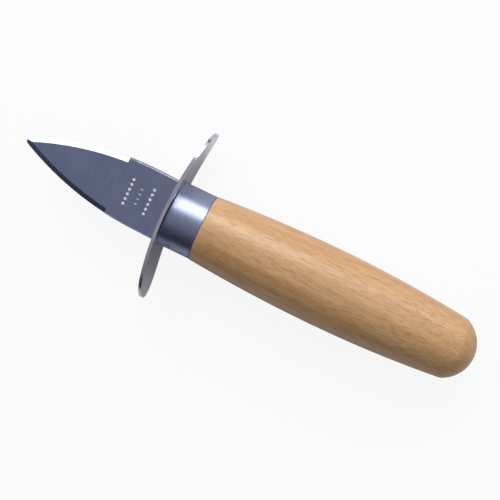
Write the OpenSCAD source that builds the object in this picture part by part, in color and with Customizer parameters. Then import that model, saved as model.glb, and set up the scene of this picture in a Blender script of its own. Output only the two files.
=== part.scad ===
// Oyster knife, lying flat: spear-point blade, bowed guard plate, ferrule and turned handle.
// X runs along the knife, with the point towards -X. Y runs across the blade and Z is up.
// The origin lies under the middle of the knife, on the surface that it rests on.

/* [Blade] */
// Length of the blade in front of the guard
blade_l = 51.2; // [46:0.2:64]
// Width of the blade at the guard
blade_w = 21; // [18:0.5:24]
// Thickness of the blade
blade_t = 2.2; // [1.8:0.1:3]
// Length of the pointed part, where the two edge arcs run
point_l = 43; // [38:1:45]
// Radius of the rounded tip
tip_r = 1.5; // [1:0.1:2.5]
// How far the blade leans off the line of its tang, in degrees
blade_lean = 1.6; // [0:0.1:3]
// Length of the ground bevels, from the tip
bevel_l = 32.8; // [24:0.2:36]
// Width of the ground bevels
bevel_w = 1.7; // [0.8:0.1:2.2]
// Thickness left at the bevelled edge
edge_t = 0.7; // [0.4:0.1:1.2]
// Width of the small chamfer along the rest of the blade
chamfer_w = 0.45; // [0.2:0.05:0.8]

/* [Tang] */
// Width of the tang
tang_w = 9; // [6:0.5:12]
// Thickness of the tang, thinner than the blade
tang_t = 1.7; // [1.4:0.1:1.7]
// Length of the tang behind the guard
tang_l = 58; // [30:1:75]

/* [Blade marks] */
// Distance of the first row of marks from the tip
marks_x = 36.9; // [36:0.1:38]
// Distance between two rows
marks_pitch = 3.7; // [3:0.1:4]
// Distance between two marks of a row
mark_gap = 1.7; // [1.4:0.1:2]
// Size of one mark
mark_size = 0.9; // [0.6:0.1:1.1]
// Depth of the marks
mark_depth = 0.1; // [0.05:0.01:0.2]
// Number of marks in the outer and the middle rows
marks_outer = 6; // [3:1:7]
marks_middle = 4; // [2:1:5]

/* [Guard] */
// Length of the guard plate, across the blade
guard_l = 58; // [50:1:66]
// Width of the guard plate
guard_w = 26; // [25:0.5:32]
// Thickness of the guard plate
guard_t = 1; // [0.8:0.1:1.5]
// Radius of the rounded ends of the plate
guard_end_r = 11.5; // [9.5:0.5:12]
// Radius to which the plate is bowed
bow_r = 130; // [90:5:200]
// Place of the small notch round the end of the plate, in degrees
notch_angle = 40; // [20:5:60]
// Width of the notch
notch_w = 2.6; // [1:0.2:3]
// Depth of the notch
notch_d = 0.9; // [0.3:0.1:1.5]

/* [Ferrule] */
// Outer diameter of the ferrule
ferrule_d = 21.8; // [19:0.2:24]
// Length of the ferrule
ferrule_l = 11.2; // [8:0.2:16]
// Wall of the ferrule
ferrule_wall = 0.9; // [0.6:0.1:1.4]
// Radius of the ferrule's rounded front edge
ferrule_round = 0.6; // [0.3:0.1:0.8]
// Distance of the punched dimple from the ferrule's front
dimple_x = 4.1; // [3:0.1:7]
// Place of the dimple round the ferrule, in degrees below the front of the knife
dimple_angle = 37; // [0:1:60]
// Radius of the dimple
dimple_r = 0.7; // [0.3:0.05:0.8]
// How far the dimple's nub stands inwards, into the wood
nub_depth = 0.5; // [0.3:0.1:0.7]

/* [Handle] */
// Length of the handle behind the ferrule
handle_l = 95; // [85:1:110]
// Diameter of the handle at its belly
belly_d = 25.7; // [24:0.1:30]
// Distance of the belly from the ferrule
belly_x = 43; // [36:1:48]
// Diameter at which the handle meets the ferrule
neck_d = 22; // [20:0.1:24]
// Diameter where the round butt starts
shoulder_d = 21.6; // [19:0.1:22]
// Diameter of the round butt
butt_d = 22.4; // [22.2:0.1:24]

/* [Fits] */
// Clearance round the tang in the guard, the ferrule and the handle
tang_clear = 0.15; // [0.05:0.05:0.3]
// Clearance between the handle's spigot and the ferrule
spigot_clear = 0.1; // [0.05:0.05:0.2]
// Gap where the blade, the guard, the ferrule and the wood seat on each other
seat_gap = 0.05; // [0.02:0.01:0.15]
// Space left behind the tang in its hole
tang_end_clear = 1; // [0.5:0.5:3]

/* [Hidden] */
$fn = 96;
arc_fn = 360;
over = 1;

total_l = blade_l + guard_t + ferrule_l + handle_l;
axis_z = max(guard_w, belly_d) / 2;
tip_x = -total_l / 2;
guard_x = tip_x + blade_l;
ferrule_x = guard_x + guard_t;
wood_x = ferrule_x + ferrule_l;
bow_x = guard_x + bow_r;

// The edge arcs touch the round tip and run on into the straight sides.
half_w = blade_w / 2;
edge_r = (pow(point_l, 2) - 2 * point_l * tip_r + pow(half_w, 2)) / (2 * (half_w - tip_r));
edge_drop = edge_r - half_w;
tip_touch = point_l - edge_r * (point_l - tip_r) / (edge_r - tip_r);

// The long sides of the guard touch its round ends.
end_y = guard_l / 2 - guard_end_r;
half_guard = guard_w / 2;
side_r = (pow(end_y, 2) + pow(half_guard, 2) - pow(guard_end_r, 2)) / (2 * (half_guard - guard_end_r));
side_y = side_r * end_y / (side_r - guard_end_r);

ferrule_bore = ferrule_d - 2 * ferrule_wall;
spigot_d = ferrule_bore - 2 * spigot_clear;
spigot_l = ferrule_l - ferrule_wall - seat_gap;
slot_w = tang_w + 2 * tang_clear;
slot_t = tang_t + 2 * tang_clear;

butt_r = butt_d / 2;
butt_x = handle_l - butt_r;
belly_r = belly_d / 2;
front_arc_r = (pow(belly_x, 2) + pow(belly_r - neck_d / 2, 2)) / (belly_d - neck_d);
rear_run = butt_x - belly_x;
rear_arc_r = (pow(rear_run, 2) + pow(belly_r - shoulder_d / 2, 2)) / (belly_d - shoulder_d);

module steel(tone) { color(tone) children(); }

// A disc with both rims cut to a slope, lying on the middle plane of the blade.
module sloped_disc(r, slope_w, rim_t) {
    slope_h = (blade_t - rim_t) / 2;
    translate([0, 0, -rim_t / 2]) cylinder(h = rim_t, r = r, $fn = arc_fn);
    translate([0, 0, rim_t / 2]) cylinder(h = slope_h, r1 = r, r2 = r - slope_w, $fn = arc_fn);
    translate([0, 0, -blade_t / 2]) cylinder(h = slope_h, r1 = r - slope_w, r2 = r, $fn = arc_fn);
}

// The lens between the two edge arcs, measured from the tip.
module pointed_form(slope_w, rim_t) {
    intersection() {
        translate([point_l, -edge_drop, 0]) sloped_disc(edge_r, slope_w, rim_t);
        translate([point_l, edge_drop, 0]) sloped_disc(edge_r, slope_w, rim_t);
    }
}

module slab(x0, x1) {
    translate([x0, -blade_w, -blade_t]) cube([x1 - x0, 2 * blade_w, 2 * blade_t]);
}

// The straight sides, with the same small chamfer as the end of the arcs.
module heel_form() {
    rim_t = blade_t - 2 * chamfer_w;
    flat_w = half_w - chamfer_w;
    translate([point_l, 0, 0]) rotate([90, 0, 90])
        linear_extrude(blade_l - point_l + over)
            polygon([[-half_w, -rim_t / 2], [-flat_w, -blade_t / 2], [flat_w, -blade_t / 2],
                [half_w, -rim_t / 2], [half_w, rim_t / 2], [flat_w, blade_t / 2],
                [-flat_w, blade_t / 2], [-half_w, rim_t / 2]]);
}

module blade_form() {
    intersection() {
        pointed_form(bevel_w, edge_t);
        union() {
            slab(tip_touch, bevel_l);
            translate([tip_r, 0, -blade_t]) cylinder(h = 2 * blade_t, r = tip_r);
        }
    }
    intersection() {
        pointed_form(chamfer_w, blade_t - 2 * chamfer_w);
        slab(bevel_l, point_l);
    }
    heel_form();
}

// One row of marks across the blade: diamonds, or short bars.
module mark_row(count, turn, width) {
    for (i = [0:count - 1])
        translate([0, (i - (count - 1) / 2) * mark_gap, blade_t / 2 - mark_depth]) rotate(turn)
            translate([-mark_size / 2, -width / 2, 0]) cube([mark_size, width, mark_depth + over]);
}

module blade_marks() {
    translate([marks_x, 0, 0]) mark_row(marks_outer, 45, mark_size);
    translate([marks_x + marks_pitch, 0, 0]) mark_row(marks_middle, 0, mark_size / 3);
    translate([marks_x + 2 * marks_pitch, 0, 0]) mark_row(marks_outer, 45, mark_size);
}

// Everything in front of, or behind, a surface bowed like the guard.
module bow_body(r) {
    translate([bow_x, 0, -guard_w]) cylinder(h = 2 * guard_w, r = r, $fn = arc_fn);
}

module blade() {
    steel("slategray") translate([0, 0, axis_z]) {
        difference() {
            translate([guard_x, 0, 0]) rotate(-blade_lean) translate([-blade_l, 0, 0])
                difference() {
                    blade_form();
                    blade_marks();
                }
            bow_body(bow_r + seat_gap);
        }
        translate([guard_x - over, -tang_w / 2, -tang_t / 2])
            cube([tang_l + guard_t + over, tang_w, tang_t]);
    }
}

module guard_outline() {
    intersection() {
        translate([0, half_guard - side_r]) circle(r = side_r, $fn = arc_fn);
        translate([0, side_r - half_guard]) circle(r = side_r, $fn = arc_fn);
        square([2 * side_y, 2 * guard_w], center = true);
    }
    for (side = [-1, 1]) translate([side * end_y, 0]) circle(r = guard_end_r);
}

module guard_notch() {
    translate([end_y, 0]) rotate(notch_angle)
        translate([guard_end_r - notch_d, -notch_w / 2]) square([notch_d + over, notch_w]);
}

module tang_slot(x0, x1) {
    translate([x0, -slot_w / 2, -slot_t / 2]) cube([x1 - x0, slot_w, slot_t]);
}

module guard() {
    steel("silver") translate([0, 0, axis_z]) intersection() {
        difference() {
            bow_body(bow_r);
            bow_body(bow_r - guard_t);
            tang_slot(guard_x - over, ferrule_x + over);
        }
        translate([guard_x - over, 0, 0]) rotate([90, 0, 90])
            linear_extrude(guard_l / 2)
                difference() {
                    guard_outline();
                    guard_notch();
                }
    }
}

// The ferrule's half section: radius across, length up.
module ferrule_section() {
    ferrule_r = ferrule_d / 2;
    difference() {
        union() {
            square([ferrule_r - ferrule_round, ferrule_l]);
            translate([0, ferrule_round]) square([ferrule_r, ferrule_l - ferrule_round]);
            translate([ferrule_r - ferrule_round, ferrule_round]) circle(r = ferrule_round);
        }
        translate([-over, -over]) square([over, ferrule_l]);
        translate([0, ferrule_wall]) square([ferrule_bore / 2, ferrule_l]);
    }
}

// Moves a form from the ferrule's axis out to the dimple, pointing outwards.
module at_dimple(r) {
    translate([ferrule_x + dimple_x, 0, 0]) rotate([90 - dimple_angle, 0, 0])
        translate([0, 0, r]) children();
}

module ferrule() {
    steel("lightsteelblue") translate([0, 0, axis_z]) {
        difference() {
            intersection() {
                translate([ferrule_x, 0, 0]) rotate([90, 0, 90]) rotate_extrude() ferrule_section();
                bow_body(bow_r - guard_t - seat_gap);
            }
            tang_slot(ferrule_x - over, ferrule_x + ferrule_wall + over);
            at_dimple(ferrule_d / 2) sphere(r = dimple_r);
        }
        difference() {
            at_dimple(ferrule_bore / 2) sphere(r = nub_depth);
            at_dimple(ferrule_d / 2 - ferrule_wall / 2) cylinder(h = ferrule_d, r = ferrule_d);
        }
    }
}

// The handle's half section behind the ferrule: radius across, length up.
module handle_section() {
    intersection() {
        translate([belly_r - front_arc_r, belly_x]) circle(r = front_arc_r, $fn = arc_fn);
        square([belly_r, belly_x]);
    }
    intersection() {
        translate([belly_r - rear_arc_r, belly_x]) circle(r = rear_arc_r, $fn = arc_fn);
        union() {
            translate([0, belly_x]) square([belly_r + over, rear_run]);
            translate([0, butt_x]) circle(r = butt_r);
        }
        translate([0, belly_x]) square([belly_r, handle_l]);
    }
}

module handle() {
    color("burlywood") translate([0, 0, axis_z]) difference() {
        union() {
            translate([wood_x + seat_gap, 0, 0]) rotate([90, 0, 90]) rotate_extrude() handle_section();
            translate([wood_x - spigot_l, 0, 0]) rotate([0, 90, 0])
                cylinder(h = spigot_l + belly_x / 2, d = spigot_d);
        }
        tang_slot(ferrule_x, ferrule_x + tang_l + tang_end_clear);
        at_dimple(ferrule_bore / 2) sphere(r = nub_depth + spigot_clear);
    }
}

blade();
guard();
ferrule();
handle();
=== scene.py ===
import math
import bpy
from mathutils import Matrix, Vector


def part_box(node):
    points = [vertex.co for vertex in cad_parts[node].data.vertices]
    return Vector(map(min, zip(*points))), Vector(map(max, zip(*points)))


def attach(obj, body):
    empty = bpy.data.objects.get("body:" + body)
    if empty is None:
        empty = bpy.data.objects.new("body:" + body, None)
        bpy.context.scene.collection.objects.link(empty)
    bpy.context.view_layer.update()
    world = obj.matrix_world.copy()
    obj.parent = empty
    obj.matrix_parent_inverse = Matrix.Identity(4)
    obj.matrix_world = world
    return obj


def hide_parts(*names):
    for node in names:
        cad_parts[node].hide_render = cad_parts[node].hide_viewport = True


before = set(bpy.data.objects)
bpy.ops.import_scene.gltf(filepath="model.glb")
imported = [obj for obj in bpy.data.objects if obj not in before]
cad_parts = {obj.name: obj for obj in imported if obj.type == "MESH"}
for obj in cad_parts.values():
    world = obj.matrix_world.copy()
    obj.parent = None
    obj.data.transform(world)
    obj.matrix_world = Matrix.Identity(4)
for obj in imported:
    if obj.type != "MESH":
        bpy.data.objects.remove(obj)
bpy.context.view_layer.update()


class Socket:
    def __init__(self, graph, socket):
        self.graph = graph
        self.socket = socket

    def maths(self, operation, other, swapped=False):
        values = {0: other, 1: self} if swapped else {0: self, 1: other}
        return self.graph.add("ShaderNodeMath", {"operation": operation}, values)

    def __add__(self, other):
        return self.maths("ADD", other)

    def __radd__(self, other):
        return self.maths("ADD", other, True)

    def __sub__(self, other):
        return self.maths("SUBTRACT", other)

    def __rsub__(self, other):
        return self.maths("SUBTRACT", other, True)

    def __mul__(self, other):
        return self.maths("MULTIPLY", other)

    def __rmul__(self, other):
        return self.maths("MULTIPLY", other, True)


class Graph:
    def __init__(self, name):
        self.material = bpy.data.materials.new(name)
        self.material.use_nodes = True
        self.tree = self.material.node_tree
        self.shader = self.tree.nodes["Principled BSDF"]
        self.place = self.add("ShaderNodeTexCoord", {}, {}, "Object")

    def put(self, node, key, value):
        target = node.inputs[key]
        if isinstance(value, Socket):
            self.tree.links.new(value.socket, target)
        else:
            target.default_value = value

    def add(self, kind, settings, values, output=0):
        node = self.tree.nodes.new(kind)
        for key, value in settings.items():
            setattr(node, key, value)
        for key, value in values.items():
            self.put(node, key, value)
        return Socket(self, node.outputs[output])

    def noise(self, scale, detail=3.0):  # scale along X, Y and Z, per metre
        where = self.add("ShaderNodeVectorMath", {"operation": "MULTIPLY"}, {0: self.place, 1: scale})
        return self.add("ShaderNodeTexNoise", {}, {"Vector": where, "Scale": 1.0, "Detail": detail})

    def step(self, value, low, high):  # 0 below low, 1 above high
        settings = {"clamp": True}
        return self.add("ShaderNodeMapRange", settings, {"Value": value, "From Min": low, "From Max": high})

    def mix(self, factor, first, second):
        return self.add("ShaderNodeMix", {"data_type": "RGBA"}, {0: factor, 6: first, 7: second}, 2)

    def bump(self, height, distance):
        return self.add("ShaderNodeBump", {}, {"Height": height, "Distance": distance, "Strength": 0.6})

    def finish(self, **inputs):
        for name, value in inputs.items():
            self.put(self.shader, name.replace("_", " "), value)
        return self.material


def rgb(red, green, blue):
    return (red, green, blue, 1.0)


steels = {
    "blade": {"colour": rgb(0.25, 0.28, 0.43), "worn": rgb(0.34, 0.37, 0.50), "rough": 0.27,
              "grain": (5200.0, 160.0, 160.0)},
    "guard": {"colour": rgb(0.58, 0.56, 0.63), "worn": rgb(0.74, 0.72, 0.76), "rough": 0.24,
              "grain": (400.0, 260.0, 4600.0)},
    "ferrule": {"colour": rgb(0.28, 0.31, 0.43), "worn": rgb(0.33, 0.37, 0.52), "rough": 0.35,
                "grain": (1500.0, 700.0, 700.0)},
}

marks = {
    "start": 0.0355,        # from the tip, on the bare heel of the blade
    "soft": 0.0002,
    "depth": 0.0001,
    "colour": rgb(0.92, 0.92, 0.95),
    "rougher": 0.45,
}


def markMask(graph):  # 1 on the floors of the stamped marks
    low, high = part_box("blade")
    along = graph.add("ShaderNodeSeparateXYZ", {}, {0: graph.place}, 0)
    height = graph.add("ShaderNodeSeparateXYZ", {}, {0: graph.place}, 2)
    top = high[2]
    depth = marks["depth"]
    start = low[0] + marks["start"]
    below = 1 - graph.step(height, top - 0.8 * depth, top - 0.2 * depth)
    above = graph.step(height, top - 1.4 * depth, top - 1.2 * depth)
    return below * above * graph.step(along, start, start + marks["soft"])


def makeSteel(name):
    look = steels[name]
    graph = Graph(name + "Steel")
    lines = graph.noise(look["grain"], 4.0)
    clouds = graph.noise((60.0, 90.0, 90.0), 2.0)
    colour = graph.mix(graph.step(lines * 0.6 + clouds * 0.4, 0.35, 0.68), look["colour"], look["worn"])
    rough = look["rough"] - 0.03 + 0.06 * lines
    if name == "blade":
        marked = markMask(graph)
        colour = graph.mix(marked, colour, marks["colour"])
        rough = rough + marks["rougher"] * marked
    return graph.finish(Base_Color=colour, Metallic=1.0, Roughness=rough, Normal=graph.bump(lines, 0.000003))


for nodeName in steels:
    metal = makeSteel(nodeName)
    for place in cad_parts[nodeName].material_slots:
        place.link = "OBJECT"
        place.material = metal
print("steel pieces finished")

handle = {
    "length": 0.095,        # behind the ferrule
    "bellyAt": 0.043, "bellyR": 0.01285,
    "neckR": 0.011, "neckRound": 0.0003,
    "shoulderR": 0.0108, "buttR": 0.0112,
    "rings": 150, "domeRings": 40, "cornerRings": 4, "sides": 128,
    "straightShare": 0.88,  # the rest of the length gets the finer rings of the butt
    "spigotR": 0.0099,
    "seatGap": 0.00005,
    "sharpAngle": 40,
}


def handleRadius(run):
    buttAt = handle["length"] - handle["buttR"]
    if run < handle["bellyAt"]:
        reach, drop = handle["bellyAt"], handle["bellyR"] - handle["neckR"]
    else:
        reach, drop = buttAt - handle["bellyAt"], handle["bellyR"] - handle["shoulderR"]
    arc = (reach ** 2 + drop ** 2) / (2 * drop)
    radius = handle["bellyR"] - arc + math.sqrt(arc ** 2 - (run - handle["bellyAt"]) ** 2)
    if run > buttAt:
        radius = min(radius, math.sqrt(max(handle["buttR"] ** 2 - (run - buttAt) ** 2, 0.0)))
    corner = handle["neckRound"]
    if run < corner:
        radius -= corner - math.sqrt(corner ** 2 - (corner - run) ** 2)
    return radius


def makeHandle():
    low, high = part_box("handle")
    axisZ = (low[2] + high[2]) / 2
    startX = high[0] - handle["length"] + handle["seatGap"]
    corner = handle["neckRound"]
    straight = handle["length"] * handle["straightShare"]
    runs = [corner * step / handle["cornerRings"] for step in range(handle["cornerRings"])]
    runs += [corner + straight * step / handle["rings"] for step in range(handle["rings"])]
    lastRun = runs[-1]
    domeSteps = handle["domeRings"]
    span = handle["length"] - handle["seatGap"] - lastRun
    runs += [lastRun + span * math.sin(math.pi / 2 * step / domeSteps) for step in range(1, domeSteps)]
    sides = handle["sides"]
    points = []
    faces = []
    rings = [(low[0], handle["spigotR"]), (startX, handle["spigotR"])]
    rings += [(startX + run, handleRadius(run)) for run in runs]
    for x, radius in rings:
        for side in range(sides):
            turn = 2 * math.pi * side / sides
            points.append((x, radius * math.cos(turn), axisZ + radius * math.sin(turn)))
    for ring in range(len(rings) - 1):
        for side in range(sides):
            after = (side + 1) % sides
            faces.append((ring * sides + side, ring * sides + after,
                          (ring + 1) * sides + after, (ring + 1) * sides + side))
    for ring, x in ((0, low[0]), (len(rings) - 1, high[0])):
        points.append((x, 0.0, axisZ))
        centre = len(points) - 1
        for side in range(sides):
            pair = (ring * sides + side, ring * sides + (side + 1) % sides)
            faces.append((centre,) + (pair[::-1] if ring == 0 else pair))
    mesh = bpy.data.meshes.new("turned_handle")
    mesh.from_pydata(points, [], faces)
    mesh.update()
    piece = bpy.data.objects.new("turned_handle", mesh)
    bpy.context.collection.objects.link(piece)
    for face in mesh.polygons:
        face.use_smooth = True
    mesh.set_sharp_from_angle(angle=math.radians(handle["sharpAngle"]))
    return piece


beech = {
    "pale": rgb(0.74, 0.44, 0.205), "warm": rgb(0.58, 0.295, 0.11), "fleck": rgb(0.33, 0.15, 0.06),
    "bandScale": (14.0, 260.0, 260.0), "fibreScale": (120.0, 3200.0, 3200.0),
    "fleckScale": (260.0, 4200.0, 4200.0),
    "varnish": 0.5, "varnishRough": 0.3, "reliefDepth": 0.00004,
}


def makeBeech():
    graph = Graph("varnishedBeech")
    bands = graph.noise(beech["bandScale"], 3.0)
    fibres = graph.noise(beech["fibreScale"], 3.0)
    flecks = graph.noise(beech["fleckScale"], 1.0)
    colour = graph.mix(graph.step(bands, 0.32, 0.70), beech["pale"], beech["warm"])
    colour = graph.mix(0.34 * graph.step(fibres, 0.38, 0.72), colour, beech["fleck"])
    spots = graph.step(flecks, 0.55, 0.64)
    colour = graph.mix(0.55 * spots, colour, beech["fleck"])
    rough = 0.40 + 0.12 * fibres
    return graph.finish(Base_Color=colour, Roughness=rough, Coat_Weight=beech["varnish"],
                        Coat_Roughness=beech["varnishRough"],
                        Normal=graph.bump(fibres - 0.6 * spots, beech["reliefDepth"]))


wood = makeHandle()
wood.data.materials.append(makeBeech())
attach(wood, "root")
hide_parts("handle")
print("handle turned")

cameraView = {
    "aim": (0.00087, 0.00014, 0.013), "stand": (0.0114, 0.0525, 0.313),
    "roll": 0.442, "focal": 953.8, "imageWidth": 500.0, "sensor": 36.0,
}


def makeCamera():
    data = bpy.data.cameras.new("camera")
    data.sensor_width = cameraView["sensor"]
    data.lens = cameraView["focal"] / cameraView["imageWidth"] * cameraView["sensor"]
    data.clip_start = 0.01
    stand = Vector(cameraView["stand"])
    ahead = (Vector(cameraView["aim"]) - stand).normalized()
    right = ahead.cross(Vector((0, 1, 0))).normalized()
    up = right.cross(ahead)
    turn = cameraView["roll"]
    turnedRight = math.cos(turn) * right + math.sin(turn) * up
    turnedUp = -math.sin(turn) * right + math.cos(turn) * up
    camera = bpy.data.objects.new("camera", data)
    bpy.context.collection.objects.link(camera)
    columns = Matrix((turnedRight, turnedUp, -ahead)).transposed()
    camera.matrix_world = Matrix.Translation(stand) @ columns.to_4x4()
    bpy.context.scene.camera = camera


lamps = {
    "key": {"tilt": (0.0, 62.0), "away": 0.60, "size": (0.50, 0.16), "power": 1.3},
    "top": {"tilt": (-22.0, 42.0), "away": 0.90, "size": (0.70, 0.34), "power": 3.6},
}


def makeLamp(name):
    lamp = lamps[name]
    data = bpy.data.lights.new(name, "AREA")
    data.shape = "RECTANGLE"
    data.size, data.size_y = lamp["size"]
    data.energy = lamp["power"]
    alongX, alongY = (math.radians(angle) for angle in lamp["tilt"])
    towards = Vector((math.sin(alongX), math.sin(alongY) * math.cos(alongX), math.cos(alongX) * math.cos(alongY)))
    side = Vector((1, 0, 0)) - towards * towards.x
    side.normalize()
    place = bpy.data.objects.new(name, data)
    bpy.context.collection.objects.link(place)
    turn = Matrix((side, towards.cross(side), towards)).transposed().to_4x4()
    place.matrix_world = Matrix.Translation(towards * lamp["away"]) @ turn


studio = {
    "floorReach": 3.0, "floorColour": rgb(0.86, 0.86, 0.86), "floorRough": 0.9,
    "floorGlow": 0.9,       # how much of the floor's whiteness is the same everywhere in view
    "lowSide": rgb(0.05, 0.05, 0.06), "highSide": rgb(0.52, 0.54, 0.60),
    "lowEnd": 0.15, "highEnd": 0.70, "strength": 0.7,
}


def makeFloor():
    mesh = bpy.data.meshes.new("floor")
    reach = studio["floorReach"]
    mesh.from_pydata([(-reach, -reach, 0), (reach, -reach, 0), (reach, reach, 0), (-reach, reach, 0)],
                     [], [(0, 1, 2, 3)])
    floor = bpy.data.objects.new("floor", mesh)
    bpy.context.collection.objects.link(floor)
    paint = bpy.data.materials.new("paleFloor")
    paint.use_nodes = True
    tree = paint.node_tree
    shader = tree.nodes["Principled BSDF"]
    shader.inputs["Base Color"].default_value = studio["floorColour"]
    shader.inputs["Roughness"].default_value = studio["floorRough"]
    glow = tree.nodes.new("ShaderNodeEmission")
    blend = tree.nodes.new("ShaderNodeMixShader")
    rays = tree.nodes.new("ShaderNodeLightPath")
    share = tree.nodes.new("ShaderNodeMath")
    share.operation = "MULTIPLY"
    share.inputs[1].default_value = studio["floorGlow"]
    tree.links.new(rays.outputs["Is Camera Ray"], share.inputs[0])
    tree.links.new(share.outputs[0], blend.inputs[0])
    tree.links.new(shader.outputs[0], blend.inputs[1])
    tree.links.new(glow.outputs[0], blend.inputs[2])
    tree.links.new(blend.outputs[0], tree.nodes["Material Output"].inputs[0])
    mesh.materials.append(paint)


def makeWorld():
    world = bpy.data.worlds.new("studio")
    bpy.context.scene.world = world
    world.use_nodes = True
    tree = world.node_tree
    light = tree.nodes["Background"]
    aim = tree.nodes.new("ShaderNodeTexCoord")  # the low side of the studio, towards -Y, is darker
    split = tree.nodes.new("ShaderNodeSeparateXYZ")
    fade = tree.nodes.new("ShaderNodeValToRGB")
    tree.links.new(aim.outputs["Generated"], split.inputs[0])
    lift = tree.nodes.new("ShaderNodeMath")
    lift.operation = "ADD"
    lift.inputs[1].default_value = 1.0
    tree.links.new(split.outputs[1], lift.inputs[0])
    tree.links.new(lift.outputs[0], fade.inputs[0])
    dark, pale = fade.color_ramp.elements
    dark.position, dark.color = studio["lowEnd"], studio["lowSide"]
    pale.position, pale.color = studio["highEnd"], studio["highSide"]
    tree.links.new(fade.outputs[0], light.inputs[0])
    light.inputs[1].default_value = studio["strength"]
    white = tree.nodes.new("ShaderNodeBackground")
    white.inputs[0].default_value = rgb(1.0, 1.0, 1.0)
    blend = tree.nodes.new("ShaderNodeMixShader")
    rays = tree.nodes.new("ShaderNodeLightPath")
    tree.links.new(rays.outputs["Is Camera Ray"], blend.inputs[0])
    tree.links.new(light.outputs[0], blend.inputs[1])
    tree.links.new(white.outputs[0], blend.inputs[2])
    tree.links.new(blend.outputs[0], tree.nodes["World Output"].inputs[0])


makeCamera()
for lampName in lamps:
    makeLamp(lampName)
makeFloor()
makeWorld()
bpy.context.scene.view_settings.view_transform = "Standard"
print("camera, lamps and floor placed")
